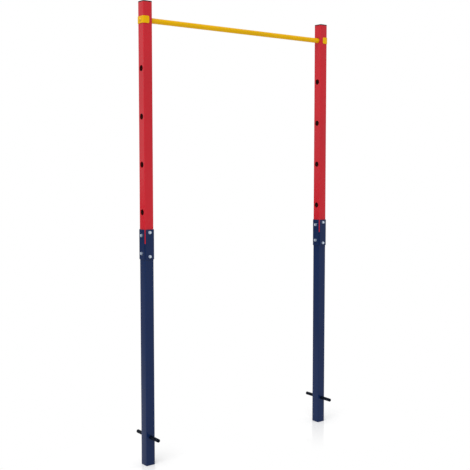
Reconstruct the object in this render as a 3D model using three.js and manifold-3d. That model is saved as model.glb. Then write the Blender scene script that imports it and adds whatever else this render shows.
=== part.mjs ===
// Outdoor pull-up bar. Two posts of square steel tube, each an upper length standing on a lower length
// inside a bolted splice, carry a round bar that fits at any of five heights. The foot of each post is
// set in concrete. Millimetres, +Z up, +X along the bar, -Y to the front, origin on the ground plane of
// the posts' feet, midway between them.

import * as THREE from "three";
import { mergeVertices } from "three/addons/utils/BufferGeometryUtils.js";
import Module from "manifold-3d";

// Play between two pieces that touch, and how far a cut runs past what it cuts
const seatGap = 0.3;
const cutOverrun = 5;

// Posts: square tube, set apart by their axes
const postSide = 50;
const postWall = 2;
const postCornerRadius = 3;
const postSpacing = 1180;
const lowerPostLength = 1125;
const upperPostLength = 1185;

// Heights for the bar: the top pair of holes is this far below the tube's end, and the rest follow
// downwards as far as they keep this margin above the splice
const topHoleDrop = 85;
const holePitch = 236;
const lowestHoleMargin = 40;
const barHoleClearance = 1.5;

// Bar, a round tube with a threaded plug in each end
const barDiameter = 27;
const barWall = 2.6;
const barEndChamfer = 0.5;
const plugLength = 30;

// Caps pushed into the posts' tops
const capFlangeThickness = 5;
const capEdgeRound = 1.2;
const capSkirtLength = 22;
const capSkirtWall = 2;
const capSkirtCornerRadius = 2.5;

// Splice angles, folded from sheet, two to a post. Their middle is a little lower than the joint, and the
// margins are from their ends to the bolts' axes.
const spliceDrop = 4;
const angleLeg = 50;
const angleThickness = 3;
const angleLength = 150;
const sideBoltMargin = 30;
const frontBoltMargin = 15;

// Splice bolts with a washer at each end
const boltDiameter = 8;
const boltHoleClearance = 0.5;
const hexAcrossFlats = 13;
const hexChamfer = 1;
const boltHeadHeight = 5.3;
const boltTipChamfer = 0.8;
const boltProtrusion = 2.2;
const nutHeight = 6.8;
const washerDiameter = 16;
const washerThickness = 1.6;

// Clips round the posts' outer sides, folded from sheet
const clipThickness = 2.5;
const clipHeight = 35;
const clipReach = 32;
const clipCornerRadius = 5;

// Button head screws that pull the clips on to the bar's plugs
const screwDiameter = 8;
const screwHoleClearance = 0.5;
const screwLength = 25;
const screwTipChamfer = 0.8;
const screwHeadDiameter = 14;
const screwHeadHeight = 4.4;
const screwHeadRim = 0.6;
const screwFaceLand = 0.8;
const screwSocketAcrossFlats = 5;
const screwSocketDepth = 2.6;

// Rods that hold the feet in the concrete
const rodDiameter = 18;
const rodLength = 200;
const rodHeight = 145;
const rodEndChamfer = 1.5;

// Facets of round shapes: the bar and its holes, the rods, the small turned pieces, a quarter of a bend
const barFacets = 40;
const rodFacets = 24;
const smallFacets = 16;
const bendFacets = 3;
const domeFacets = 4;

// Sizes that follow from those above
const postHalf = postSide / 2;
const upperPostFoot = lowerPostLength + seatGap;
const upperPostTop = upperPostFoot + upperPostLength;
const spliceHeight = lowerPostLength + seatGap / 2 - spliceDrop;
const topHoleHeight = upperPostTop - topHoleDrop;
// The bar lies on the lower edge of its holes
const barHeight = topHoleHeight - (barHoleClearance - seatGap);
const lowestHoleHeight = spliceHeight + angleLength / 2 + lowestHoleMargin;
const holeCount = 1 + Math.floor((topHoleHeight - lowestHoleHeight) / holePitch);
const barHoleRadius = barDiameter / 2 + barHoleClearance;
const barLength = postSpacing + postSide;
const barBoreRadius = barDiameter / 2 - barWall;
const boltHoleRadius = boltDiameter / 2 + boltHoleClearance;
const rodHoleRadius = rodDiameter / 2 + seatGap;
const sideBoltSpacing = angleLength - 2 * sideBoltMargin;
const frontBoltSpacing = angleLength - 2 * frontBoltMargin;
const legFace = postHalf + seatGap + angleThickness;
const headSeat = legFace + seatGap + washerThickness + seatGap;
const boltLength = 2 * headSeat + nutHeight + boltProtrusion;
const clipWebFace = postHalf + seatGap + clipThickness;

// Surface finishes, as colour, roughness and metalness
const redPaint = { color: 0xb81e2b, roughness: 0.45, metalness: 0 };
const navyPaint = { color: 0x1c2a4a, roughness: 0.45, metalness: 0 };
const yellowPaint = { color: 0xe0a814, roughness: 0.4, metalness: 0 };
const zincPlate = { color: 0xbcc8d2, roughness: 0.35, metalness: 1 };
const yellowZinc = { color: 0xc79a2e, roughness: 0.4, metalness: 1 };
const bareSteel = { color: 0x8d8f92, roughness: 0.5, metalness: 1 };
const blackSteel = { color: 0x101216, roughness: 0.5, metalness: 0 };
const blackPlastic = { color: 0x1a1a1d, roughness: 0.6, metalness: 0 };

const wasm = await Module();
wasm.setup();

// A closed geometry as a solid that can be joined and cut
function toSolid(geometry) {
  const bare = geometry.clone();
  bare.deleteAttribute("normal");
  bare.deleteAttribute("uv");
  const merged = mergeVertices(bare);
  return new wasm.Manifold(
    new wasm.Mesh({
      numProp: 3,
      vertProperties: new Float32Array(merged.attributes.position.array),
      triVerts: new Uint32Array(merged.index.array),
    }),
  );
}

// A solid back as a geometry, with flat faces
function toGeometry(solid) {
  const mesh = solid.getMesh();
  const indexed = new THREE.BufferGeometry();
  indexed.setAttribute("position", new THREE.BufferAttribute(mesh.vertProperties, 3));
  indexed.setIndex(new THREE.BufferAttribute(mesh.triVerts, 1));
  const geometry = indexed.toNonIndexed();
  geometry.computeVertexNormals();
  return geometry;
}

function cut(body, tools) {
  let solid = toSolid(body);
  for (const tool of tools) solid = solid.subtract(toSolid(tool));
  return toGeometry(solid);
}

function join(bodies) {
  let solid = toSolid(bodies[0]);
  for (const body of bodies.slice(1)) solid = solid.add(toSolid(body));
  return toGeometry(solid);
}

function common(body, other) {
  return toGeometry(toSolid(body).intersect(toSolid(other)));
}

// A rectangle about the origin with round corners
function roundedRectangle(width, depth, radius) {
  const shape = new THREE.Shape();
  const x = width / 2 - radius;
  const y = depth / 2 - radius;
  shape.absarc(x, y, radius, 0, Math.PI / 2);
  shape.absarc(-x, y, radius, Math.PI / 2, Math.PI);
  shape.absarc(-x, -y, radius, Math.PI, 1.5 * Math.PI);
  shape.absarc(x, -y, radius, 1.5 * Math.PI, 2 * Math.PI);
  return shape;
}

// An outline raised along +Z from the plane z = 0
function raise(shape, height, facets = bendFacets) {
  return new THREE.ExtrudeGeometry(shape, { depth: height, bevelEnabled: false, curveSegments: facets });
}

// A profile of [radius, z] points turned about the Z axis
function turn(profile, facets) {
  const points = profile.map(([radius, z]) => new THREE.Vector2(radius, z));
  return new THREE.LatheGeometry(points, facets).rotateX(Math.PI / 2);
}

// A solid round bar along Z from 0 to its length, with both ends chamfered
function roundBar(radius, length, chamfer, facets) {
  return turn(
    [
      [0, 0],
      [radius - chamfer, 0],
      [radius, chamfer],
      [radius, length - chamfer],
      [radius - chamfer, length],
      [0, length],
    ],
    facets,
  );
}

// A ring along Z from 0 to its length: a washer, a plug or a tube
function ring(outerRadius, innerRadius, length, chamfer, facets) {
  return turn(
    [
      [innerRadius, 0],
      [outerRadius - chamfer, 0],
      [outerRadius, chamfer],
      [outerRadius, length - chamfer],
      [outerRadius - chamfer, length],
      [innerRadius, length],
      [innerRadius, 0],
    ],
    facets,
  );
}

// A drill of a given radius that runs past both faces of a post along X or Y, at a height
function drill(radius, axis, height, facets = smallFacets) {
  const length = postSide + 2 * (angleThickness + cutOverrun);
  const tool = new THREE.CylinderGeometry(radius, radius, length, facets);
  if (axis === "x") tool.rotateZ(Math.PI / 2);
  return tool.translate(0, 0, height);
}

// A hexagonal block along Z from 0 to its height, with the corners of the ends given turned off
function hexBlock(acrossFlats, height, chamfer, roundBothEnds) {
  const cornerRadius = acrossFlats / Math.sqrt(3);
  const prism = new THREE.CylinderGeometry(cornerRadius, cornerRadius, height, 6);
  prism.rotateX(Math.PI / 2).translate(0, 0, height / 2);
  const faceRadius = acrossFlats / 2;
  const outside = cornerRadius + (cornerRadius - faceRadius);
  const envelope = turn(
    [
      [0, 0],
      [roundBothEnds ? faceRadius : outside, 0],
      [outside, roundBothEnds ? chamfer : 0],
      [outside, height - chamfer],
      [faceRadius, height],
      [0, height],
    ],
    smallFacets,
  );
  return common(prism, envelope);
}

// Lower post: its foot goes into the ground. Holes for the anchor rod and the splice's lower bolts.
function lowerPost() {
  return cut(postTube(lowerPostLength), [
    drill(rodHoleRadius, "y", rodHeight, rodFacets),
    drill(boltHoleRadius, "x", spliceHeight - sideBoltSpacing / 2),
    drill(boltHoleRadius, "y", spliceHeight - frontBoltSpacing / 2),
  ]);
}

// Upper post, with its foot at z = 0: the bar's holes side to side, and holes for the splice's upper bolts
function upperPost() {
  const barHoles = [];
  for (let i = 0; i < holeCount; i++) {
    barHoles.push(drill(barHoleRadius, "x", topHoleHeight - i * holePitch - upperPostFoot, barFacets));
  }
  return cut(postTube(upperPostLength), [
    ...barHoles,
    drill(boltHoleRadius, "x", spliceHeight + sideBoltSpacing / 2 - upperPostFoot),
    drill(boltHoleRadius, "y", spliceHeight + frontBoltSpacing / 2 - upperPostFoot),
  ]);
}

function postTube(length) {
  const section = roundedRectangle(postSide, postSide, postCornerRadius);
  const inside = postSide - 2 * postWall;
  section.holes.push(roundedRectangle(inside, inside, postCornerRadius - postWall));
  return raise(section, length);
}

// Cap: a flange as wide as the post with its upper edge rounded, on a hollow skirt inside the tube
function topCap() {
  const inset = postSide - 2 * capEdgeRound;
  const pillow = new THREE.ExtrudeGeometry(
    roundedRectangle(inset, inset, postCornerRadius - capEdgeRound),
    {
      depth: 2 * (capFlangeThickness - capEdgeRound),
      bevelThickness: capEdgeRound,
      bevelSize: capEdgeRound,
      bevelSegments: bendFacets,
      curveSegments: bendFacets,
    },
  );
  pillow.translate(0, 0, capEdgeRound - capFlangeThickness);
  const lowerHalf = roundedRectangle(postSide + cutOverrun, postSide + cutOverrun, postCornerRadius);
  const flange = cut(pillow, [raise(lowerHalf, capFlangeThickness).translate(0, 0, -capFlangeThickness)]);
  const outside = postSide - 2 * (postWall + seatGap);
  const inside = outside - 2 * capSkirtWall;
  const skirt = roundedRectangle(outside, outside, capSkirtCornerRadius);
  skirt.holes.push(roundedRectangle(inside, inside, capSkirtCornerRadius - capSkirtWall));
  const skirtTop = capFlangeThickness / 2;
  return join([flange, raise(skirt, capSkirtLength + skirtTop).translate(0, 0, -capSkirtLength)]);
}

// Splice angle round the post's front right corner, its middle at z = 0. The bend follows the tube's
// corner. Turned half round it fits the rear left corner.
function spliceAngle() {
  const insideRadius = postCornerRadius + seatGap;
  const outsideRadius = insideRadius + angleThickness;
  const bend = legFace - outsideRadius;
  const legEnd = legFace - angleLeg;
  const inner = legFace - angleThickness;
  const section = new THREE.Shape();
  section.moveTo(legEnd, -legFace);
  section.absarc(bend, -bend, outsideRadius, 1.5 * Math.PI, 2 * Math.PI);
  section.lineTo(legFace, -legEnd);
  section.lineTo(inner, -legEnd);
  section.absarc(bend, -bend, insideRadius, 0, -Math.PI / 2, true);
  section.lineTo(legEnd, -inner);
  section.closePath();
  const sheet = raise(section, angleLength).translate(0, 0, -angleLength / 2);
  return cut(sheet, [
    drill(boltHoleRadius, "x", sideBoltSpacing / 2),
    drill(boltHoleRadius, "x", -sideBoltSpacing / 2),
    drill(boltHoleRadius, "y", frontBoltSpacing / 2),
    drill(boltHoleRadius, "y", -frontBoltSpacing / 2),
  ]);
}

// Hexagon bolt along Z: the underside of its head is at z = 0 and its shank hangs below
function spliceBolt() {
  const head = hexBlock(hexAcrossFlats, boltHeadHeight, hexChamfer, false);
  const radius = boltDiameter / 2;
  const shank = turn(
    [
      [0, -boltLength],
      [radius - boltTipChamfer, -boltLength],
      [radius, boltTipChamfer - boltLength],
      [radius, boltHeadHeight / 2],
      [0, boltHeadHeight / 2],
    ],
    smallFacets,
  );
  return join([head, shank]);
}

function spliceNut() {
  const block = hexBlock(hexAcrossFlats, nutHeight, hexChamfer, true);
  const threadHole = new THREE.CylinderGeometry(
    boltDiameter / 2 + seatGap,
    boltDiameter / 2 + seatGap,
    nutHeight + 2 * cutOverrun,
    smallFacets,
  );
  return cut(block, [threadHole.rotateX(Math.PI / 2).translate(0, 0, nutHeight / 2)]);
}

function washer() {
  return ring(washerDiameter / 2, boltDiameter / 2 + seatGap, washerThickness, 0, smallFacets);
}

// Clip on the right post's outer side, centred on the bar's axis: a web with a flange along the front and
// the back of the post, folded round its corners. The flanges' free corners are rounded.
function endClip() {
  const insideRadius = postCornerRadius + seatGap;
  const outsideRadius = insideRadius + clipThickness;
  const bend = clipWebFace - outsideRadius;
  const inner = clipWebFace - clipThickness;
  const flangeEnd = postHalf - clipReach;
  const section = new THREE.Shape();
  section.moveTo(flangeEnd, -clipWebFace);
  section.absarc(bend, -bend, outsideRadius, 1.5 * Math.PI, 2 * Math.PI);
  section.absarc(bend, bend, outsideRadius, 0, Math.PI / 2);
  section.lineTo(flangeEnd, clipWebFace);
  section.lineTo(flangeEnd, inner);
  section.absarc(bend, bend, insideRadius, Math.PI / 2, 0, true);
  section.absarc(bend, -bend, insideRadius, 0, -Math.PI / 2, true);
  section.lineTo(flangeEnd, -inner);
  section.closePath();
  const sheet = raise(section, clipHeight).translate(0, 0, -clipHeight / 2);
  // Side view of the blank: square at the web, rounded at the flanges' free ends
  const blank = new THREE.Shape();
  const top = clipHeight / 2;
  const corner = flangeEnd + clipCornerRadius;
  blank.moveTo(clipWebFace + cutOverrun, -top);
  blank.lineTo(clipWebFace + cutOverrun, top);
  blank.absarc(corner, top - clipCornerRadius, clipCornerRadius, Math.PI / 2, Math.PI);
  blank.absarc(corner, clipCornerRadius - top, clipCornerRadius, Math.PI, 1.5 * Math.PI);
  blank.closePath();
  const blankWidth = 2 * (clipWebFace + cutOverrun);
  const trim = raise(blank, blankWidth).translate(0, 0, -blankWidth / 2).rotateX(Math.PI / 2);
  const screwHole = new THREE.CylinderGeometry(
    screwDiameter / 2 + screwHoleClearance,
    screwDiameter / 2 + screwHoleClearance,
    clipThickness + 2 * cutOverrun,
    smallFacets,
  );
  screwHole.rotateZ(Math.PI / 2).translate(clipWebFace - clipThickness / 2, 0, 0);
  return cut(common(sheet, trim), [screwHole]);
}

// Button head screw along Z: the underside of its head is at z = 0 and its shank hangs below
function clipScrew() {
  const radius = screwDiameter / 2;
  const rimRadius = screwHeadDiameter / 2;
  const domeRise = screwHeadHeight - screwHeadRim;
  const socketRadius = screwSocketAcrossFlats / Math.sqrt(3);
  const flatRadius = socketRadius + screwFaceLand;
  const profile = [
    [0, -screwLength],
    [radius - screwTipChamfer, -screwLength],
    [radius, screwTipChamfer - screwLength],
    [radius, 0],
    [rimRadius, 0],
    [rimRadius, screwHeadRim],
  ];
  for (let i = 1; i <= domeFacets; i++) {
    const angle = (i / domeFacets) * (Math.PI / 2);
    const reach = flatRadius + (rimRadius - flatRadius) * Math.cos(angle);
    profile.push([reach, screwHeadRim + domeRise * Math.sin(angle)]);
  }
  profile.push([0, screwHeadHeight]);
  const socketLength = screwSocketDepth + cutOverrun;
  const socket = new THREE.CylinderGeometry(socketRadius, socketRadius, socketLength, 6);
  socket.rotateX(Math.PI / 2).translate(0, 0, screwHeadHeight - screwSocketDepth + socketLength / 2);
  return cut(turn(profile, smallFacets), [socket]);
}

// A named piece with its finish, in a group at a place
function addPiece(group, name, geometry, finish, x = 0, y = 0, z = 0) {
  const mesh = new THREE.Mesh(geometry, new THREE.MeshStandardMaterial(finish));
  mesh.name = name;
  mesh.position.set(x, y, z);
  group.add(mesh);
  return mesh;
}

// One bolt with its washers and nut, clamping the splice. The group's +Z points out of the head's side.
function addSpliceBolt(post, place, height, facing) {
  const set = new THREE.Group();
  set.position.z = height;
  set.quaternion.setFromUnitVectors(new THREE.Vector3(0, 0, 1), facing);
  const washerSeat = legFace + seatGap;
  addPiece(set, "splice_bolt_" + place, spliceBolt(), zincPlate, 0, 0, headSeat);
  addPiece(set, "head_washer_" + place, washer(), zincPlate, 0, 0, washerSeat);
  addPiece(set, "nut_washer_" + place, washer(), zincPlate, 0, 0, -washerSeat - washerThickness);
  addPiece(set, "splice_nut_" + place, spliceNut(), zincPlate, 0, 0, -headSeat - nutHeight);
  post.add(set);
}

// A whole post. Its side-to-side bolts have their heads on the outer side, which is -X on the left.
function addPost(root, side, outward) {
  const post = new THREE.Group();
  post.position.x = (outward * postSpacing) / 2;
  addPiece(post, "lower_post_" + side, lowerPost(), navyPaint);
  addPiece(post, "upper_post_" + side, upperPost(), redPaint, 0, 0, upperPostFoot);
  addPiece(post, "top_cap_" + side, topCap(), blackPlastic, 0, 0, upperPostTop + seatGap);
  addPiece(post, "splice_angle_" + side + "_front", spliceAngle(), navyPaint, 0, 0, spliceHeight);
  const rear = addPiece(post, "splice_angle_" + side + "_rear", spliceAngle(), navyPaint, 0, 0, spliceHeight);
  rear.rotation.z = Math.PI;
  const sideways = new THREE.Vector3(outward, 0, 0);
  const forwards = new THREE.Vector3(0, -1, 0);
  for (const [level, up] of [["upper", 1], ["lower", -1]]) {
    const sideHeight = spliceHeight + (up * sideBoltSpacing) / 2;
    const frontHeight = spliceHeight + (up * frontBoltSpacing) / 2;
    addSpliceBolt(post, side + "_side_" + level, sideHeight, sideways);
    addSpliceBolt(post, side + "_front_" + level, frontHeight, forwards);
  }
  const rodShape = roundBar(rodDiameter / 2, rodLength, rodEndChamfer, rodFacets);
  const rod = addPiece(post, "anchor_rod_" + side, rodShape, blackSteel, 0, rodLength / 2, rodHeight);
  rod.rotation.x = Math.PI / 2;
  root.add(post);
}

// What comes off with the bar or holds it: the clip, its screw and the plug, at one end
function addBarEnd(root, side, outward) {
  const end = new THREE.Group();
  end.position.set((outward * postSpacing) / 2, 0, barHeight);
  if (outward < 0) end.rotation.z = Math.PI;
  addPiece(end, "end_clip_" + side, endClip(), yellowPaint);
  const screw = addPiece(end, "clip_screw_" + side, clipScrew(), yellowZinc, clipWebFace + seatGap);
  screw.rotation.y = Math.PI / 2;
  const plugRadius = barBoreRadius - seatGap;
  const threadRadius = screwDiameter / 2 + seatGap;
  const plugShape = ring(plugRadius, threadRadius, plugLength, barEndChamfer, smallFacets);
  const plug = addPiece(end, "bar_plug_" + side, plugShape, bareSteel, postHalf - plugLength);
  plug.rotation.y = Math.PI / 2;
  root.add(end);
}

const pullUpBar = new THREE.Group();
addPost(pullUpBar, "left", -1);
addPost(pullUpBar, "right", 1);
const barShape = ring(barDiameter / 2, barBoreRadius, barLength, barEndChamfer, barFacets);
const crossbar = addPiece(pullUpBar, "crossbar", barShape, yellowPaint, -barLength / 2, 0, barHeight);
crossbar.rotation.y = Math.PI / 2;
addBarEnd(pullUpBar, "left", -1);
addBarEnd(pullUpBar, "right", 1);

export default pullUpBar;
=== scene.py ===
import math

import bmesh
import bpy
from mathutils import Matrix, Vector


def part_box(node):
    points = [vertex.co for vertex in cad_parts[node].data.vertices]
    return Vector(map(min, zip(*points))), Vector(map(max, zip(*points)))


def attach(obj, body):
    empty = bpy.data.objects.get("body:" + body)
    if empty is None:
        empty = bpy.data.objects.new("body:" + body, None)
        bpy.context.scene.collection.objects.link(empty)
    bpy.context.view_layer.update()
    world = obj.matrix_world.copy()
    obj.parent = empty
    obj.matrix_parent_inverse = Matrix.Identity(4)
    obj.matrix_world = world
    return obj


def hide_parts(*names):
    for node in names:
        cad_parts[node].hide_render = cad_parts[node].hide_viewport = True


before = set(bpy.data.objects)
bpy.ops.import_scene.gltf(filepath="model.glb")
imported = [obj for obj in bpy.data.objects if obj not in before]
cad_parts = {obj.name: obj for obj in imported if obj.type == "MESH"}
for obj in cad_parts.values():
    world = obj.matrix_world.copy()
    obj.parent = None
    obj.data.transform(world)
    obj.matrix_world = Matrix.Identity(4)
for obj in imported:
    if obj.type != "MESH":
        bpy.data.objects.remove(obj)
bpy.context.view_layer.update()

# Camera: stands 1.5 metres up, in front of the object and to its left, so that the left post is nearer.
# Its place, turn and lens are fitted to points of the photograph, on an image of 470 by 470 pixels.
camera_place = Vector((-2.8081, -3.5892, 1.5305))
camera_turn = math.radians(37.71)
camera_tilt = math.radians(3.96)
focal_length_pixels = 844.5
frame_width_pixels = 470
camera_shift = -0.031

camera_data = bpy.data.cameras.new("camera")
camera_data.lens = camera_data.sensor_width * focal_length_pixels / frame_width_pixels
camera_data.shift_y = camera_shift
camera = bpy.data.objects.new("camera", camera_data)
camera.location = camera_place
camera.rotation_euler = (math.pi / 2 - camera_tilt, 0, -camera_turn)
bpy.context.scene.collection.objects.link(camera)
bpy.context.scene.camera = camera
bpy.context.scene.view_settings.view_transform = "Standard"

# Lower posts: square steel tubes with rolled corners, powder coated navy, that go into the ground.
# Holes are drilled through for the anchor rod and for the splice's two lower bolts.
SIDES = ("left", "right")
OUTWARD = {"left": Vector((-1, 0, 0)), "right": Vector((1, 0, 0))}
FRONT = Vector((0, -1, 0))
UP = Vector((0, 0, 1))
tube_wall = 0.002
tube_corner_radius = 0.003
tube_edge_round = 0.0004
corner_segments = 6
eased_segments = 2
eased_angle = math.radians(35)
bolt_hole_radius = 0.0045
rod_hole_radius = 0.0093
hole_side_cuts = 7
hole_panel_share = 1.35
inset_share = 0.1
merge_distance = 1e-6


def middle(node):
    """The middle of a node's box."""
    low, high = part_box(node)
    return (low + high) / 2


def length_along(node, direction):
    """The length of a node's box along an axis."""
    low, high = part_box(node)
    return abs((high - low).dot(direction))


def end_of(node, direction):
    """The middle of the side of a node's box that faces along an axis."""
    return middle(node) + direction * (length_along(node, direction) / 2)


def round_off(bm, geom, radius, affect, segments):
    """Rounds corners or edges of a mesh to a radius."""
    bmesh.ops.bevel(bm, geom=geom, offset=radius, offset_type="OFFSET", affect=affect,
                    segments=segments, profile=0.5, material=-1)


def rounded_square(node, level):
    """A flat square with the tubes' round corners, as wide as a node's box, at a height."""
    bm = bmesh.new()
    centre = middle(node)
    base = Matrix.Translation((centre.x, centre.y, level))
    half_width = length_along(node, FRONT) / 2
    bmesh.ops.create_grid(bm, x_segments=1, y_segments=1, size=half_width, matrix=base)
    round_off(bm, bm.verts[:], tube_corner_radius, "VERTICES", corner_segments)
    return bm


def raise_outline(bm, height):
    """Extrudes all edges of a flat outline straight up into walls."""
    skin = bmesh.ops.extrude_edge_only(bm, edges=bm.edges[:])["geom"]
    raised = [item for item in skin if isinstance(item, bmesh.types.BMVert)]
    bmesh.ops.translate(bm, vec=UP * height, verts=raised)


def square_tube(node):
    """The outer skin of a square tube that fills a node's box, open at both ends."""
    low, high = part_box(node)
    bm = rounded_square(node, low.z)
    end_face = bm.faces[:]
    raise_outline(bm, high.z - low.z)
    bmesh.ops.delete(bm, geom=end_face, context="FACES_ONLY")
    bmesh.ops.recalc_face_normals(bm, faces=bm.faces[:])
    return bm


def nearest_face(bm, point):
    """The face whose middle is nearest to a point."""
    return min(bm.faces, key=lambda face: (face.calc_center_median() - point).length)


def round_inset(bm, face, centre, radius):
    """Insets a face and moves the inner loop onto a circle about a point in the face's plane."""
    margin = min((vert.co - centre).length for vert in face.verts) * inset_share
    bmesh.ops.inset_region(bm, faces=[face], thickness=margin, use_even_offset=True)
    for vert in face.verts:
        vert.co = centre + (vert.co - centre).normalized() * radius


def drill(bm, centre, facing, radius):
    """Opens a round hole in the flat wall on which the centre lies."""
    panel = radius * hole_panel_share
    for offset in (-panel, panel):
        everything = bm.verts[:] + bm.edges[:] + bm.faces[:]
        bmesh.ops.bisect_plane(bm, geom=everything, dist=merge_distance, plane_co=centre + UP * offset,
                               plane_no=UP)
    across = UP.cross(facing)
    for offset in (-panel, panel):
        face = nearest_face(bm, centre)
        bmesh.ops.bisect_plane(bm, geom=face.verts[:] + face.edges[:] + [face], dist=merge_distance,
                               plane_co=centre + across * offset, plane_no=across)
    face = nearest_face(bm, centre)
    bmesh.ops.bisect_edges(bm, edges=face.edges[:], cuts=hole_side_cuts)
    round_inset(bm, face, centre, radius)
    bmesh.ops.delete(bm, geom=[face], context="FACES_ONLY")


def add_piece(bm, name, material, body, node):
    """Makes the mesh a piece that rides on a body and stands for a node."""
    mesh = bpy.data.meshes.new(name)
    bm.to_mesh(mesh)
    bm.free()
    mesh.shade_smooth()
    mesh.materials.append(material)
    piece = bpy.data.objects.new(name, mesh)
    bpy.context.scene.collection.objects.link(piece)
    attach(piece, body)
    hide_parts(node)
    return piece


def thicken(piece, wall, lining=None):
    """Gives a skin its wall, inwards. A lining is the material of the inner side where it differs."""
    solidify = piece.modifiers.new("wall", "SOLIDIFY")
    solidify.thickness = wall
    solidify.offset = -1
    solidify.use_even_offset = True
    solidify.use_rim = True
    if lining:
        piece.data.materials.append(lining)
        solidify.material_offset = 1


def ease_edges(piece, width):
    """Rounds the sharp edges a little, and keeps the flats flat in the shading."""
    bevel = piece.modifiers.new("edges", "BEVEL")
    bevel.width = width
    bevel.segments = eased_segments
    bevel.limit_method = "ANGLE"
    bevel.angle_limit = eased_angle
    bevel.harden_normals = True


class Value:
    """A shader number that varies over a surface. Python's operators on it add Math nodes."""

    def __init__(self, nodes, socket):
        self.nodes = nodes
        self.socket = socket

    def maths(self, operation, first, second):
        """Adds a Math node and returns its result."""
        return self.nodes.node("ShaderNodeMath", {"operation": operation}, {0: first, 1: second})

    def __add__(self, other):
        return self.maths("ADD", self, other)

    def __mul__(self, other):
        return self.maths("MULTIPLY", self, other)

    def __sub__(self, other):
        return self.maths("SUBTRACT", self, other)

    def __rsub__(self, other):
        return self.maths("SUBTRACT", other, self)

    __radd__ = __add__
    __rmul__ = __mul__


class Nodes:
    """A tree of shader nodes, which are added by one method."""

    def __init__(self, tree):
        self.tree = tree

    def node(self, kind, settings=None, inputs=None, output=0):
        """Adds a node with its settings and inputs, and returns the value at one of its outputs."""
        node = self.tree.nodes.new(kind)
        for name, setting in (settings or {}).items():
            setattr(node, name, setting)
        for name, value in (inputs or {}).items():
            self.feed(node.inputs[name], value)
        return Value(self, node.outputs[output])

    def feed(self, socket, value):
        """Links a value to a socket, or sets the socket where the value is a plain one."""
        if isinstance(value, Value):
            self.tree.links.new(value.socket, socket)
        else:
            socket.default_value = value


noise_detail = 2.0
mix_first_colour = 6
mix_second_colour = 7
mix_result_colour = 2


class Finish(Nodes):
    """A material on one shader, with patterns that lie still on the object."""

    def __init__(self, name):
        self.material = bpy.data.materials.new(name)
        self.material.use_nodes = True
        super().__init__(self.material.node_tree)
        self.shader = self.tree.nodes["Principled BSDF"]
        self.place = self.node("ShaderNodeTexCoord", output="Object")

    def set(self, name, value):
        """Gives one of the shader's sockets a value."""
        self.feed(self.shader.inputs[name], value)

    def noise(self, size, detail=noise_detail):
        """Cloudy noise from 0 to 1, with spots of about the given size in metres."""
        inputs = {"Vector": self.place, "Scale": 1 / size, "Detail": detail}
        return self.node("ShaderNodeTexNoise", inputs=inputs, output="Fac")

    def step(self, value, low, high):
        """0 below low, 1 above high, and smooth between."""
        inputs = {"Value": value, "From Min": low, "From Max": high}
        return self.node("ShaderNodeMapRange", {"interpolation_type": "SMOOTHSTEP"}, inputs, "Result")

    def clouds(self, size, detail, low, high):
        """Noise drawn out into clearer clouds: 0 below low, 1 above high, and smooth between."""
        return self.step(self.noise(size, detail), low, high)

    def mix(self, share, first, second):
        """A colour between two others."""
        inputs = {0: share, mix_first_colour: first, mix_second_colour: second}
        return self.node("ShaderNodeMix", {"data_type": "RGBA"}, inputs, mix_result_colour)

    def roughen(self, size, least, swing):
        """Roughness that drifts in patches of a size, from the least up by a swing."""
        self.set("Roughness", self.noise(size) * swing + least)

    def grain(self, size, depth, detail=noise_detail):
        """Fine relief, of a size and a depth in metres."""
        inputs = {"Height": self.noise(size, detail), "Distance": depth}
        self.set("Normal", self.node("ShaderNodeBump", inputs=inputs, output="Normal"))


coat_tone_size = 0.35
coat_tone_detail = 3.0
coat_tone_low = 0.3
coat_tone_high = 0.7
coat_tone_swing = 0.05
coat_patch_size = 0.06
coat_roughness = 0.15
coat_roughness_swing = 0.08
orange_peel_size = 0.0012
orange_peel_depth = 0.00006
orange_peel_detail = 1.0


def shade_of(colour, factor):
    """A colour made lighter or darker by a factor."""
    return tuple(channel * factor for channel in colour[:3]) + (1,)


def powder_coat(name, colour, gloss):
    """Baked powder paint: a satin skin with a fine orange peel and slow changes of tone and gloss."""
    coat = Finish(name)
    tone = coat.clouds(coat_tone_size, coat_tone_detail, coat_tone_low, coat_tone_high)
    darker = shade_of(colour, 1 - coat_tone_swing)
    lighter = shade_of(colour, 1 + coat_tone_swing)
    coat.set("Base Color", coat.mix(tone, darker, lighter))
    coat.roughen(coat_patch_size, coat_roughness, coat_roughness_swing)
    coat.set("Specular IOR Level", gloss)
    coat.grain(orange_peel_size, orange_peel_depth, orange_peel_detail)
    return coat.material


lining_cloud_size = 0.02
lining_cloud_detail = 4.0
lining_cloud_low = 0.35
lining_cloud_high = 0.7
scale_patch_size = 0.01
scale_roughness = 0.6
scale_roughness_swing = 0.2
scale_gloss = 0.2
scale_grain_size = 0.003
scale_grain_depth = 0.0001
scale_grain_detail = 3.0


def tube_inside(name, lining_dark, lining_light):
    """A tube's unpainted inside: a dark lining clouded with paint dust, on the red tubes darkened as
    painted shade.
    """
    inside = Finish(name)
    # Clouds between the dark and the lighter lining colour; on the red tubes both colours carry painted
    # shade.
    lining_share = inside.clouds(lining_cloud_size, lining_cloud_detail, lining_cloud_low, lining_cloud_high)
    inside.set("Base Color", inside.mix(lining_share, lining_dark, lining_light))
    inside.roughen(scale_patch_size, scale_roughness, scale_roughness_swing)
    inside.set("Specular IOR Level", scale_gloss)
    inside.grain(scale_grain_size, scale_grain_depth, scale_grain_detail)
    return inside.material


navy = (0.004, 0.017, 0.073, 1)
navy_gloss = 0.18
navy_tube_scale = (0.018, 0.017, 0.017, 1)
navy_tube_dust = (0.022, 0.026, 0.045, 1)
navy_coat = powder_coat("navy_powder_coat", navy, navy_gloss)
navy_inside = tube_inside("navy_tube_inside", navy_tube_scale, navy_tube_dust)

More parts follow.
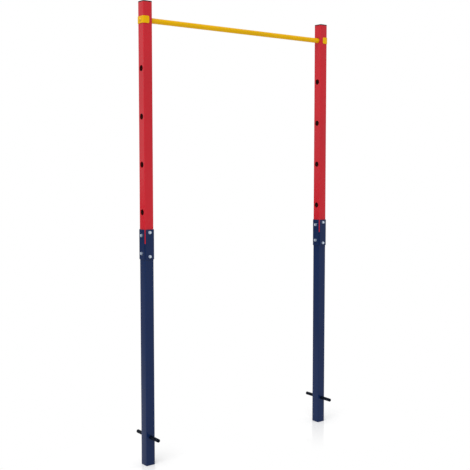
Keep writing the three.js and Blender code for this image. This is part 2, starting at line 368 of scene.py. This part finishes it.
for side in SIDES:
    node = f"lower_post_{side}"
    tube = square_tube(node)
    rod = middle(f"anchor_rod_{side}")
    side_bolt = middle(f"splice_bolt_{side}_side_lower")
    front_bolt = middle(f"splice_bolt_{side}_front_lower")
    axis = middle(node)
    half_width = length_along(node, FRONT) / 2
    for facing in (FRONT, -FRONT):
        drill(tube, Vector((axis.x, 0, rod.z)) + facing * half_width, facing, rod_hole_radius)
        drill(tube, Vector((axis.x, 0, front_bolt.z)) + facing * half_width, facing, bolt_hole_radius)
    for facing in OUTWARD.values():
        drill(tube, Vector((axis.x, 0, side_bolt.z)) + facing * half_width, facing, bolt_hole_radius)
    piece = add_piece(tube, f"navy_tube_{side}", navy_coat, "root", node)
    thicken(piece, tube_wall, navy_inside)
    ease_edges(piece, tube_edge_round)

# Upper posts: tubes of the same section, powder coated red, that stand on the lower ones. Five pairs of
# holes go through them from side to side for the bar, and two pairs take the splice's upper bolts.
red = (0.54, 0.013, 0.024, 1)
red_gloss = 0.2
# The red tubes' inside is red overspray on dark steel, darkened further as painted shade inside the
# holes.
red_inside_painted_shade_dark = (0.07, 0.014, 0.012, 1)
red_inside_painted_shade_light = (0.2, 0.018, 0.016, 1)
bar_hole_radius = 0.015
bar_hole_pitch = 0.236
bar_hole_count = 5
bar_rest_gap = 0.0003
top_hole_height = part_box("crossbar")[0].z - bar_rest_gap + bar_hole_radius
red_coat = powder_coat("red_powder_coat", red, red_gloss)
red_inside_painted_shade = tube_inside("red_tube_inside_painted_shade", red_inside_painted_shade_dark, red_inside_painted_shade_light)

for side in SIDES:
    node = f"upper_post_{side}"
    tube = square_tube(node)
    side_bolt = middle(f"splice_bolt_{side}_side_upper")
    front_bolt = middle(f"splice_bolt_{side}_front_upper")
    axis = middle(node)
    half_width = length_along(node, FRONT) / 2
    for facing in OUTWARD.values():
        for row in range(bar_hole_count):
            height = top_hole_height - row * bar_hole_pitch
            drill(tube, Vector((axis.x, 0, height)) + facing * half_width, facing, bar_hole_radius)
        drill(tube, Vector((axis.x, 0, side_bolt.z)) + facing * half_width, facing, bolt_hole_radius)
    for facing in (FRONT, -FRONT):
        drill(tube, Vector((axis.x, 0, front_bolt.z)) + facing * half_width, facing, bolt_hole_radius)
    piece = add_piece(tube, f"red_tube_{side}", red_coat, "root", node)
    thicken(piece, tube_wall, red_inside_painted_shade)
    ease_edges(piece, tube_edge_round)

# Splice angles: steel sheet folded into equal legs, powder coated like the lower posts. One grips the
# front right corner of each joint and one the rear left corner, and four bolts go through both.
angle_thickness = 0.003
angle_bend_radius = 0.0063
angle_edge_round = 0.0005
bend_segments = 8


def folded_sheet(path, height, bend_radius, inner_point):
    """The outer skin of a bent sheet: a path raised along Z, which faces away from a point."""
    bm = bmesh.new()
    points = [bm.verts.new(point) for point in path]
    for start, end in zip(points, points[1:]):
        bm.edges.new((start, end))
    raise_outline(bm, height)
    folds = [edge for edge in bm.edges if len(edge.link_faces) == 2]
    round_off(bm, folds, bend_radius, "EDGES", bend_segments)
    bmesh.ops.recalc_face_normals(bm, faces=bm.faces[:])
    outwardness = sum(face.normal.dot(face.calc_center_median() - inner_point) for face in bm.faces)
    if outwardness < 0:
        bmesh.ops.reverse_faces(bm, faces=bm.faces[:])
    return bm


for side in SIDES:
    axis = middle(f"upper_post_{side}")
    for end, turn in (("front", 1), ("rear", -1)):
        node = f"splice_angle_{side}_{end}"
        low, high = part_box(node)
        corner_x, free_x = (high.x, low.x) if turn > 0 else (low.x, high.x)
        corner_y, free_y = (low.y, high.y) if turn > 0 else (high.y, low.y)
        path = ((free_x, corner_y, low.z), (corner_x, corner_y, low.z), (corner_x, free_y, low.z))
        sheet = folded_sheet(path, high.z - low.z, angle_bend_radius, axis)
        for level in ("lower", "upper"):
            side_hole = Vector((corner_x, 0, middle(f"splice_bolt_{side}_side_{level}").z))
            front_hole = Vector((axis.x, corner_y, middle(f"splice_bolt_{side}_front_{level}").z))
            drill(sheet, side_hole, Vector((turn, 0, 0)), bolt_hole_radius)
            drill(sheet, front_hole, Vector((0, -turn, 0)), bolt_hole_radius)
        piece = add_piece(sheet, f"folded_angle_{side}_{end}", navy_coat, "root", node)
        thicken(piece, angle_thickness)
        ease_edges(piece, angle_edge_round)

# Splice bolts: hexagon bolts of 8 mm with a washer under each head and a washer and nut at the far end,
# all in bright blue-white zinc plate. Heads are on the posts' outer sides and at the front.
HEX_SIDES = 6
hex_across_flats = 0.013
hex_side_cuts = 5
hex_face_share = 0.95
hex_corner_drop = 0.0005
head_height = 0.0053
bolt_radius = 0.004
bolt_neck_radius = 0.0043
bolt_tip_chamfer = 0.0008
thread_pitch = 0.00125
thread_depth = 0.0006
thread_length = 0.022
crest_start_share = 0.1
root_share = 0.5
crest_end_share = 0.9
washer_edge = 0.0002
washer_steps = 48
sharp_angle = math.radians(32)
zinc_blue = (0.53, 0.61, 0.72, 1)
zinc_grey = (0.62, 0.68, 0.76, 1)
zinc_roughness = 0.36
plate_cloud_size = 0.004
plate_cloud_detail = 3.0
plate_cloud_low = 0.35
plate_cloud_high = 0.65
plate_patch_size = 0.0008
plate_roughness_swing = 0.12
plate_grain_size = 0.0005
plate_grain_depth = 0.000006


def plated(name, colour, tint, roughness):
    """Bright plating: metal with a faint cloudy tint and fine scratches in the gloss."""
    plate = Finish(name)
    tinge = plate.clouds(plate_cloud_size, plate_cloud_detail, plate_cloud_low, plate_cloud_high)
    plate.set("Base Color", plate.mix(tinge, colour, tint))
    plate.set("Metallic", 1.0)
    plate.roughen(plate_patch_size, roughness, plate_roughness_swing)
    plate.grain(plate_grain_size, plate_grain_depth)
    return plate.material


bright_zinc = plated("bright_zinc_plate", zinc_blue, zinc_grey, zinc_roughness)


def raise_block(bm, foot, height):
    """Makes a flat face the foot of a block and returns the block's top face."""
    lifted = bmesh.ops.extrude_face_region(bm, geom=[foot])["geom"]
    top = next(item for item in lifted if isinstance(item, bmesh.types.BMFace))
    bmesh.ops.translate(bm, vec=UP * height, verts=top.verts)
    bmesh.ops.recalc_face_normals(bm, faces=bm.faces[:])
    return top


def raise_walls(bm, face):
    """Extrudes one face of a block and returns the face at the end of the new walls."""
    grown = bmesh.ops.extrude_face_region(bm, geom=[face])["geom"]
    bmesh.ops.delete(bm, geom=[face], context="FACES_ONLY")
    return next(item for item in grown if isinstance(item, bmesh.types.BMFace))


def draw_out(bm, face, profile):
    """Extrudes a round face through rings of a radius at a height. The face ends as the tip."""
    for radius, height in profile:
        face = raise_walls(bm, face)
        for vert in face.verts:
            vert.co = (vert.co.xy.normalized() * radius).to_3d() + UP * height
    return face


def hexagon(height, chamfer_both):
    """A hexagonal block on the plane z = 0, its corners turned off to a cone, and its two end faces."""
    bm = bmesh.new()
    corner_radius = hex_across_flats / math.sqrt(3)
    flat_radius = hex_across_flats / 2
    bmesh.ops.create_circle(bm, cap_ends=True, segments=HEX_SIDES, radius=corner_radius)
    bmesh.ops.bisect_edges(bm, edges=bm.edges[:], cuts=hex_side_cuts)
    bottom = next(iter(bm.faces))
    top = raise_block(bm, bottom, height)
    face_radius = flat_radius * hex_face_share
    slope = hex_corner_drop / (corner_radius - flat_radius)
    chamfered = [(top, height, -1)]
    if chamfer_both:
        chamfered.append((bottom, 0, 1))
    for face, level, way in chamfered:
        for vert in face.verts:
            vert.co.z = level + way * slope * max(0, vert.co.xy.length - face_radius)
        round_inset(bm, face, UP * level, face_radius)
        for vert in face.verts:
            vert.co.z = level
    return bm, bottom, top


def thread_rings(radius, start, end):
    """Rings of a thread's crests and roots between two heights."""
    turns = int(abs(end - start) / thread_pitch)
    way = math.copysign(thread_pitch, end - start)
    rings = []
    for turn in range(turns):
        rings.append((radius, start + way * (turn + crest_start_share)))
        rings.append((radius - thread_depth, start + way * (turn + root_share)))
        rings.append((radius, start + way * (turn + crest_end_share)))
    return rings


def hex_bolt(shank_length):
    """A bolt whose head stands on the plane z = 0, with its threaded shank below."""
    bm, under_head, _ = hexagon(head_height, False)
    round_inset(bm, under_head, Vector(), bolt_neck_radius)
    thread_start = thread_length - shank_length
    shank = [(bolt_radius, bolt_radius - bolt_neck_radius), (bolt_radius, thread_start)]
    shank += thread_rings(bolt_radius, thread_start, bolt_tip_chamfer - shank_length)
    shank += [(bolt_radius - bolt_tip_chamfer, -shank_length)]
    draw_out(bm, under_head, shank)
    bmesh.ops.recalc_face_normals(bm, faces=bm.faces[:])
    return bm


def hex_nut(height):
    """A nut on the plane z = 0, with both its faces chamfered and its hole widened at the mouths."""
    bm, bottom, top = hexagon(height, True)
    mouths = []
    for face, level, way in ((bottom, 0, 1), (top, height, -1)):
        round_inset(bm, face, UP * level, bolt_radius + thread_depth)
        mouths.append(draw_out(bm, face, [(bolt_neck_radius, level + way * thread_depth)]))
    rims = [edge for face in mouths for edge in face.edges]
    bmesh.ops.delete(bm, geom=mouths, context="FACES_ONLY")
    bmesh.ops.bridge_loops(bm, edges=rims)
    bmesh.ops.recalc_face_normals(bm, faces=bm.faces[:])
    return bm


def turned_profile(outer, inner, length, chamfer):
    """Half the section of a round piece with its outer edges broken, as (radius, height) points."""
    return ((inner, 0), (outer - chamfer, 0), (outer, chamfer), (outer, length - chamfer),
            (outer - chamfer, length), (inner, length))


def spun(profile, closed, steps):
    """Spins a profile of (radius, height) points round the Z axis."""
    bm = bmesh.new()
    points = [bm.verts.new((radius, 0, height)) for radius, height in profile]
    following = points[1:] + points[:1] if closed else points[1:]
    edges = [bm.edges.new(pair) for pair in zip(points, following)]
    bmesh.ops.spin(bm, geom=points + edges, cent=(0, 0, 0), axis=UP, angle=2 * math.pi, steps=steps,
                   use_merge=True)
    bmesh.ops.remove_doubles(bm, verts=bm.verts[:], dist=merge_distance)
    bmesh.ops.recalc_face_normals(bm, faces=bm.faces[:])
    return bm


def stand(bm, foot, direction):
    """Places a mesh that was made on the plane z = 0, with its Z along a direction."""
    turn = direction.to_track_quat("Z", "Y").to_matrix().to_4x4()
    bmesh.ops.transform(bm, matrix=Matrix.Translation(foot) @ turn, verts=bm.verts[:])


def crisp(piece):
    """Keeps edges above an angle sharp in the shading."""
    piece.data.set_sharp_from_angle(angle=sharp_angle)


for side in SIDES:
    for run, heading in (("side", OUTWARD[side]), ("front", FRONT)):
        for level in ("lower", "upper"):
            place = f"{side}_{run}_{level}"
            node = f"splice_bolt_{place}"
            bolt = hex_bolt(length_along(node, heading) - head_height)
            stand(bolt, end_of(node, heading) - heading * head_height, heading)
            crisp(add_piece(bolt, f"hex_bolt_{place}", bright_zinc, "root", node))

            for end, facing in (("head", heading), ("nut", -heading)):
                node = f"{end}_washer_{place}"
                outer = length_along(node, UP) / 2
                thickness = length_along(node, heading)
                profile = turned_profile(outer, bolt_neck_radius, thickness, washer_edge)
                washer = spun(profile, True, washer_steps)
                stand(washer, end_of(node, -facing), facing)
                crisp(add_piece(washer, f"flat_washer_{end}_{place}", bright_zinc, "root", node))

            node = f"splice_nut_{place}"
            nut = hex_nut(length_along(node, heading))
            stand(nut, end_of(node, heading), -heading)
            crisp(add_piece(nut, f"hex_nut_{place}", bright_zinc, "root", node))

# Anchor rods: plain round steel bar, lacquered black, driven through the lower posts from front to back.
# They key the posts into their concrete footings.
rod_chamfer = 0.0015
rod_edge_round = rod_chamfer / 4
rod_steps = 48
lacquer_black = (0.001, 0.003, 0.009, 1)
lacquer_bluish = (0.002, 0.005, 0.013, 1)
lacquer_cloud_size = 0.03
lacquer_patch_size = 0.01
lacquer_roughness = 0.3
lacquer_roughness_swing = 0.15
lacquer_gloss = 0.05
lacquer_grain_size = 0.0015
lacquer_grain_depth = 0.00002

lacquer = Finish("black_lacquer")
lacquer.set("Base Color", lacquer.mix(lacquer.noise(lacquer_cloud_size), lacquer_black, lacquer_bluish))
lacquer.roughen(lacquer_patch_size, lacquer_roughness, lacquer_roughness_swing)
lacquer.set("Specular IOR Level", lacquer_gloss)
lacquer.grain(lacquer_grain_size, lacquer_grain_depth)

for side in SIDES:
    node = f"anchor_rod_{side}"
    profile = turned_profile(length_along(node, UP) / 2, 0, length_along(node, FRONT), rod_chamfer)
    rod = spun(profile, False, rod_steps)
    stand(rod, end_of(node, FRONT), -FRONT)
    piece = add_piece(rod, f"steel_rod_{side}", lacquer.material, "root", node)
    ease_edges(piece, rod_edge_round)

# Top caps: moulded black plastic, pressed into the posts' tops. A flange with a rounded upper edge
# covers the tube's end, and a hollow skirt below it holds the cap in the tube.
flange_thickness = 0.005
flange_edge_radius = 0.0012
flange_edge_segments = 4
skirt_side = 0.0454
skirt_wall = 0.002
skirt_floor = 0.002
plastic_black = (0.006, 0.006, 0.007, 1)
plastic_patch_size = 0.004
plastic_roughness = 0.42
plastic_roughness_swing = 0.1
plastic_gloss = 0.15
plastic_grain_size = 0.0006
plastic_grain_depth = 0.00003
plastic_grain_detail = 3.0

plastic = Finish("black_plastic")
plastic.set("Base Color", plastic_black)
plastic.roughen(plastic_patch_size, plastic_roughness, plastic_roughness_swing)
plastic.set("Specular IOR Level", plastic_gloss)
plastic.grain(plastic_grain_size, plastic_grain_depth, plastic_grain_detail)

for side in SIDES:
    node = f"top_cap_{side}"
    flange_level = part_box(node)[1].z - flange_thickness
    cap = rounded_square(node, flange_level)
    under = next(iter(cap.faces))
    top = raise_block(cap, under, flange_thickness)
    round_off(cap, top.edges[:], flange_edge_radius, "EDGES", flange_edge_segments)
    ledge = (length_along(node, FRONT) - skirt_side) / 2
    skirt_depth = flange_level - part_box(node)[0].z
    for margin, drop in ((ledge, -skirt_depth), (skirt_wall, skirt_depth - skirt_floor)):
        bmesh.ops.inset_region(cap, faces=[under], thickness=margin, use_even_offset=True)
        under = raise_walls(cap, under)
        bmesh.ops.translate(cap, vec=UP * drop, verts=under.verts)
    crisp(add_piece(cap, f"flanged_cap_{side}", plastic.material, "root", node))

# Crossbar: a drawn round steel tube, powder coated yellow, that passes through both posts.
# Its ends are cut square and broken with a small chamfer.
yellow = (0.78, 0.435, 0.001, 1)
yellow_gloss = 0.08
bar_wall = 0.0026
bar_end_chamfer = 0.0005
bar_edge_round = bar_end_chamfer / 3
bar_steps = 96
yellow_coat = powder_coat("yellow_powder_coat", yellow, yellow_gloss)

bar_radius = length_along("crossbar", UP) / 2
bar_length = length_along("crossbar", OUTWARD["right"])
profile = turned_profile(bar_radius, bar_radius - bar_wall, bar_length, bar_end_chamfer)
bar = spun(profile, True, bar_steps)
stand(bar, end_of("crossbar", OUTWARD["left"]), OUTWARD["right"])
piece = add_piece(bar, "grip_tube", yellow_coat, "crossbar", "crossbar")
ease_edges(piece, bar_edge_round)

# Bar plugs: turned steel slugs that are fixed in the bar's ends, each with a threaded hole.
# The clip screws turn into them and pull the clips against the posts.
plug_edge = 0.0006
plug_steps = 64
turned_dark = (0.42, 0.42, 0.43, 1)
turned_light = (0.56, 0.56, 0.57, 1)
turned_cloud_size = 0.003
turned_cloud_detail = 3.0
turned_patch_size = 0.0006
turned_roughness = 0.3
turned_roughness_swing = 0.15
turned_grain_size = 0.0004
turned_grain_depth = 0.000008

turned = Finish("turned_steel")
cloud = turned.noise(turned_cloud_size, turned_cloud_detail)
turned.set("Base Color", turned.mix(cloud, turned_dark, turned_light))
turned.set("Metallic", 1.0)
turned.roughen(turned_patch_size, turned_roughness, turned_roughness_swing)
turned.grain(turned_grain_size, turned_grain_depth)

for side in SIDES:
    node = f"bar_plug_{side}"
    outer = length_along(node, UP) / 2
    length = length_along(node, OUTWARD[side])
    thread = thread_rings(bolt_neck_radius + thread_depth, plug_edge, length - plug_edge)
    profile = [(outer, plug_edge), (outer, length - plug_edge), (outer - plug_edge, length)]
    profile += thread[::-1] + [(outer - plug_edge, 0)]
    plug = spun(profile, True, plug_steps)
    stand(plug, end_of(node, -OUTWARD[side]), OUTWARD[side])
    crisp(add_piece(plug, f"threaded_plug_{side}", turned.material, "crossbar", node))

# End clips: U-shaped steel clips, folded from sheet and powder coated yellow like the bar. Their webs lie
# on the posts' outer sides across the bar's ends, and their flanges reach round the front and the back.
clip_thickness = 0.0025
clip_bend_radius = 0.0058
clip_corner_radius = 0.005
clip_hole_radius = 0.0045
clip_edge_round = 0.0005

for side in SIDES:
    node = f"end_clip_{side}"
    low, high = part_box(node)
    outward = OUTWARD[side]
    web_x, free_x = (low.x, high.x) if outward.x < 0 else (high.x, low.x)
    path = ((free_x, low.y, low.z), (web_x, low.y, low.z),
            (web_x, high.y, low.z), (free_x, high.y, low.z))
    axis = middle(f"upper_post_{side}")
    centre = middle(node)
    sheet = folded_sheet(path, high.z - low.z, clip_bend_radius, Vector((axis.x, 0, centre.z)))
    free_corners = [vert for vert in sheet.verts if abs(vert.co.x - free_x) < merge_distance]
    round_off(sheet, free_corners, clip_corner_radius, "VERTICES", bend_segments)
    drill(sheet, Vector((web_x, 0, centre.z)), outward, clip_hole_radius)
    piece = add_piece(sheet, f"folded_clip_{side}", yellow_coat, f"clip_{side}", node)
    thicken(piece, clip_thickness)
    ease_edges(piece, clip_edge_round)

# Clip screws: button head socket screws of 8 mm, in yellow zinc plate. Each goes through a clip's web
# into the plug behind it, and so clamps the clip and the bar to the post.
button_height = 0.0044
button_rim = 0.0006
button_land = 0.0008
button_steps = 36
dome_rings = 8
socket_across_flats = 0.005
socket_depth = 0.0026
yellow_zinc_gold = (0.82, 0.52, 0.05, 1)
yellow_zinc_pale = (0.76, 0.52, 0.12, 1)
yellow_zinc_roughness = 0.35
yellow_zinc = plated("yellow_zinc_plate", yellow_zinc_gold, yellow_zinc_pale, yellow_zinc_roughness)


def button_dome(rim):
    """Rings of a button head, from its rim up to the flat land round the socket."""
    flat = socket_across_flats / math.sqrt(3) + button_land
    rings = []
    for row in range(1, dome_rings + 1):
        angle = row / dome_rings * math.pi / 2
        radius = flat + (rim - flat) * math.cos(angle)
        rings.append((radius, button_rim + (button_height - button_rim) * math.sin(angle)))
    return rings


def sink_socket(bm, crown):
    """Cuts a hexagonal socket into the round top of a head."""
    side_angle = 2 * math.pi / HEX_SIDES
    mouth = raise_walls(bm, crown)
    for vert in mouth.verts:
        turn = math.atan2(vert.co.y, vert.co.x) % side_angle - side_angle / 2
        reach = socket_across_flats / 2 / math.cos(turn)
        vert.co = (vert.co.xy.normalized() * reach).to_3d() + UP * button_height
    floor_of_socket = raise_walls(bm, mouth)
    bmesh.ops.translate(bm, vec=-UP * socket_depth, verts=floor_of_socket.verts)


for side in SIDES:
    node = f"clip_screw_{side}"
    outward = OUTWARD[side]
    rim = length_along(node, UP) / 2
    shank_length = length_along(node, outward) - button_height
    screw = bmesh.new()
    bmesh.ops.create_circle(screw, cap_ends=True, segments=button_steps, radius=rim)
    underside = next(iter(screw.faces))
    crown = raise_block(screw, underside, button_rim)
    sink_socket(screw, draw_out(screw, crown, button_dome(rim)))
    round_inset(screw, underside, Vector(), bolt_radius)
    shank = thread_rings(bolt_radius, 0, bolt_tip_chamfer - shank_length)
    shank += [(bolt_radius - bolt_tip_chamfer, -shank_length)]
    draw_out(screw, underside, shank)
    bmesh.ops.recalc_face_normals(screw, faces=screw.faces[:])
    stand(screw, end_of(node, outward) - outward * button_height, outward)
    crisp(add_piece(screw, f"button_screw_{side}", yellow_zinc, f"clip_{side}",
                    node))

# Floor: plain, pale and slightly polished. It shows a faint shadow and mirror image within a step of each
# foot, and plain white past that. Only reflections see it dim behind the object and darken farther off.
# It is clear from below, so that the posts' open feet can be seen.
floor_reach = 60
floor_steps = 96
floor_roughness = 0.13
floor_pale = (0.8, 0.8, 0.8, 1)
white = (1, 1, 1, 1)
black = (0, 0, 0, 1)
shadow_share = 0.8
fade_start = 0.1
fade_end = 0.55
dim_share = 0.45
dim_from = 0.3
dim_full = 4
dark_from = 7
dark_full = 15
pale_from = 25
pale_full = 55
behind_start = 0.2
behind_end = 2

floor_mesh = bmesh.new()
bmesh.ops.create_circle(floor_mesh, cap_ends=True, segments=floor_steps, radius=floor_reach)
floor_data = bpy.data.meshes.new("floor")
floor_mesh.to_mesh(floor_data)
floor_mesh.free()
floor = bpy.data.objects.new("floor", floor_data)
bpy.context.scene.collection.objects.link(floor)


def blended(nodes, share, first, second):
    """One shader where the share is 0 and another where it is 1."""
    return nodes.node("ShaderNodeMixShader", inputs={0: share, 1: first, 2: second}, output="Shader")


paving = Finish("floor_white")
seen = paving.node("ShaderNodeLightPath", output="Is Camera Ray")
mirrored = paving.node("ShaderNodeLightPath", output="Is Glossy Ray")
from_below = paving.node("ShaderNodeNewGeometry", output="Backfacing")
paving.set("Base Color", paving.mix(seen, floor_pale, white))
paving.set("Roughness", floor_roughness)

folded = paving.node("ShaderNodeVectorMath", {"operation": "ABSOLUTE"}, {0: paving.place}, "Vector")
foot = (middle("lower_post_right").x, 0, 0)
from_foot = paving.node("ShaderNodeVectorMath", {"operation": "DISTANCE"}, {0: folded, 1: foot}, "Value")
near_foot = (1 - paving.step(from_foot, fade_start, fade_end)) * shadow_share

distance = paving.node("ShaderNodeVectorMath", {"operation": "LENGTH"}, {0: paving.place}, "Value")
depth = paving.node("ShaderNodeSeparateXYZ", inputs={0: paving.place}, output="Y")
dim = paving.step(distance, dim_from, dim_full) * dim_share
dark_band = dim + paving.step(distance, dark_from, dark_full) * (1 - dim_share)
dark_band = dark_band * (1 - paving.step(distance, pale_from, pale_full))
dark_band = dark_band * paving.step(depth, behind_start, behind_end)

surface = Value(paving, paving.shader.outputs["BSDF"])
glow = paving.node("ShaderNodeEmission", inputs={"Color": white}, output="Emission")
night = paving.node("ShaderNodeEmission", inputs={"Color": black}, output="Emission")
clear = paving.node("ShaderNodeBsdfTransparent", output="BSDF")
shown = blended(paving, seen * (1 - near_foot), surface, glow)
shown = blended(paving, mirrored * dark_band, shown, night)
shown = blended(paving, from_below, shown, clear)
paving.feed(paving.tree.nodes["Material Output"].inputs["Surface"], shown)
floor_data.materials.append(paving.material)

# Light: an even white room, and one broad soft lamp up on the left, far enough off to light both posts
# alike. The room's light is toned down, while the view past the object and reflections stay white.
room_light = 0.74
lamp_direction = Vector((0.55, 0.33, -0.77))
lamp_spread = math.radians(50)
lamp_strength = 0.45 * math.pi

world = bpy.data.worlds.new("room")
world.use_nodes = True
bpy.context.scene.world = world
room = Nodes(world.node_tree)
seen = room.node("ShaderNodeLightPath", output="Is Camera Ray")
mirrored = room.node("ShaderNodeLightPath", output="Is Glossy Ray")
seen_through = room.node("ShaderNodeLightPath", output="Is Transmission Ray")
plain = room.node("ShaderNodeBackground", inputs={"Color": white, "Strength": room_light})
bright = room.node("ShaderNodeBackground", inputs={"Color": white})
shown = blended(room, seen + mirrored + seen_through, plain, bright)
room.feed(world.node_tree.nodes["World Output"].inputs["Surface"], shown)

lamp_data = bpy.data.lights.new("soft_lamp", "SUN")
lamp_data.angle = lamp_spread
lamp_data.energy = lamp_strength
lamp = bpy.data.objects.new("soft_lamp", lamp_data)
lamp.rotation_euler = lamp_direction.to_track_quat("-Z", "Y").to_euler()
bpy.context.scene.collection.objects.link(lamp)
